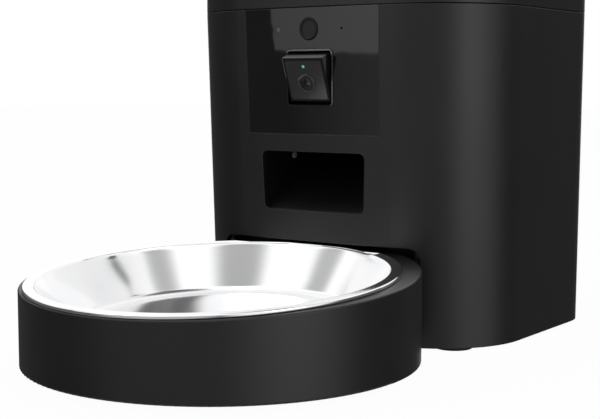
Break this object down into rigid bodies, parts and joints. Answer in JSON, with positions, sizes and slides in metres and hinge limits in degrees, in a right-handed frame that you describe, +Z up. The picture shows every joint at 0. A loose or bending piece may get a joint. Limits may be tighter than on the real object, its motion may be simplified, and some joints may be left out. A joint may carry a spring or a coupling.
{
  "type": "camera pet feeder",
  "caption": "Automatic dry food feeder for pets: tall moulded body with a tilting camera, a sloping food chute and a polished bowl on a round tray.",
  "frame": {"origin": "on the floor, in the middle of the whole length and width", "axes": "-Y is the front with the bowl, +X is to the right seen from the front, +Z is up"},
  "size_m": [0.19, 0.3303, 0.3093],
  "materials": {
    "body_plastic": "fine satin moulded",
    "inner_plastic": "matte moulded",
    "panel_gloss": "high gloss",
    "bezel_metal": "satin",
    "head_plastic": "gloss",
    "lens_glass": "polished",
    "led_green": "lit",
    "light_white": "frosted",
    "rubber": "matte",
    "steel": "brushed",
    "bowl_steel": "mirror polish",
    "tank_plastic": "frosted",
    "rotor_plastic": "matte moulded",
    "silicone": "soft",
    "gear_plastic": "acetal",
    "board_green": "solder mask",
    "cell_wrap": "foil wrap",
    "dry_cloth": "non-woven"
  },
  "bodies": {
    "housing": {"lower_housing": "body_plastic", "bowl_recess": "inner_plastic", "base_plate": "inner_plastic", "rubber_feet": "rubber", "front_panel": "panel_gloss", "indicator_window": "light_white", "microphone": "inner_plastic", "button_board": "board_green", "button_switch": "inner_plastic", "camera_bezel": "bezel_metal", "camera_cradle": "inner_plastic", "camera_board": "board_green", "discharge_chute": "inner_plastic", "chute_sensors": "light_white", "rotor_chamber": "inner_plastic", "rotor_bush": "gear_plastic", "chamber_cover": "inner_plastic", "gear_bracket": "inner_plastic", "motor": "steel", "rear_cover": "inner_plastic", "speaker": "inner_plastic", "main_board": "board_green", "power_inlet": "inner_plastic", "battery_box": "inner_plastic", "battery_contacts": "steel", "battery_cells": "cell_wrap", "housing_screws": "steel", "bracket_screws": "steel"},
    "button": {"feed_button": "panel_gloss"},
    "camera": {"camera_head": "head_plastic", "camera_glass": "panel_gloss", "lens_barrel": "head_plastic", "lens_element": "lens_glass", "status_led": "led_green", "camera_pins": "steel"},
    "rotor": {"metering_rotor": "rotor_plastic", "rotor_paddles": "silicone", "rotor_shaft": "steel", "agitator": "rotor_plastic", "drive_gear": "gear_plastic"},
    "pinion": {"pinion": "gear_plastic"},
    "hopper": {"hopper_shell": "body_plastic", "food_tank": "tank_plastic", "tank_funnel": "tank_plastic", "tank_throat": "tank_plastic", "hinge_pin": "steel"},
    "lid": {"lid": "body_plastic", "lid_seal": "silicone", "desiccant_cup": "inner_plastic", "desiccant_pack": "dry_cloth"},
    "desiccant_cover": {"desiccant_cover": "inner_plastic"},
    "battery_door": {"battery_door": "inner_plastic"},
    "tray": {"bowl_tray": "body_plastic", "tray_pads": "rubber", "steel_bowl": "bowl_steel"}
  },
  "joints": [
    {"name": "button_press", "type": "slide", "parent": "housing", "child": "button", "axis": [0, 1, 0], "range_m": [0, 0.0008], "stiffness_N_per_m": 900, "springref_m": -0.0006},
    {"name": "camera_tilt", "type": "hinge", "parent": "housing", "child": "camera", "pos_m": [0, 0.00777, 0.1295], "axis": [1, 0, 0], "range_deg": [-20, 14]},
    {"name": "rotor_spin", "type": "hinge", "parent": "housing", "child": "rotor", "pos_m": [0, 0.07985, 0.1345], "axis": [0, 0, 1], "continuous": true},
    {"name": "pinion_spin", "type": "hinge", "parent": "housing", "child": "pinion", "pos_m": [0, 0.10735, 0.117], "axis": [0, 0, 1], "continuous": true},
    {"name": "tray_pull", "type": "slide", "parent": "housing", "child": "tray", "axis": [0, -1, 0], "range_m": [0, 0.06]},
    {"name": "hopper_lift", "type": "slide", "parent": "housing", "child": "hopper", "axis": [0, 0, 1], "range_m": [0, 0.06]},
    {"name": "lid_hinge", "type": "hinge", "parent": "hopper", "child": "lid", "pos_m": [0, 0.16115, 0.2973], "axis": [-1, 0, 0], "range_deg": [0, 100]},
    {"name": "desiccant_cover_pull", "type": "slide", "parent": "lid", "child": "desiccant_cover", "axis": [0, 0, -1], "range_m": [0, 0.012]},
    {"name": "battery_door_pull", "type": "slide", "parent": "housing", "child": "battery_door", "axis": [0, 1, 0], "range_m": [0, 0.02]}
  ],
  "couplings": [
    {"joint": "pinion_spin", "follows": "rotor_spin", "ratio": -2.6667}
  ]
}
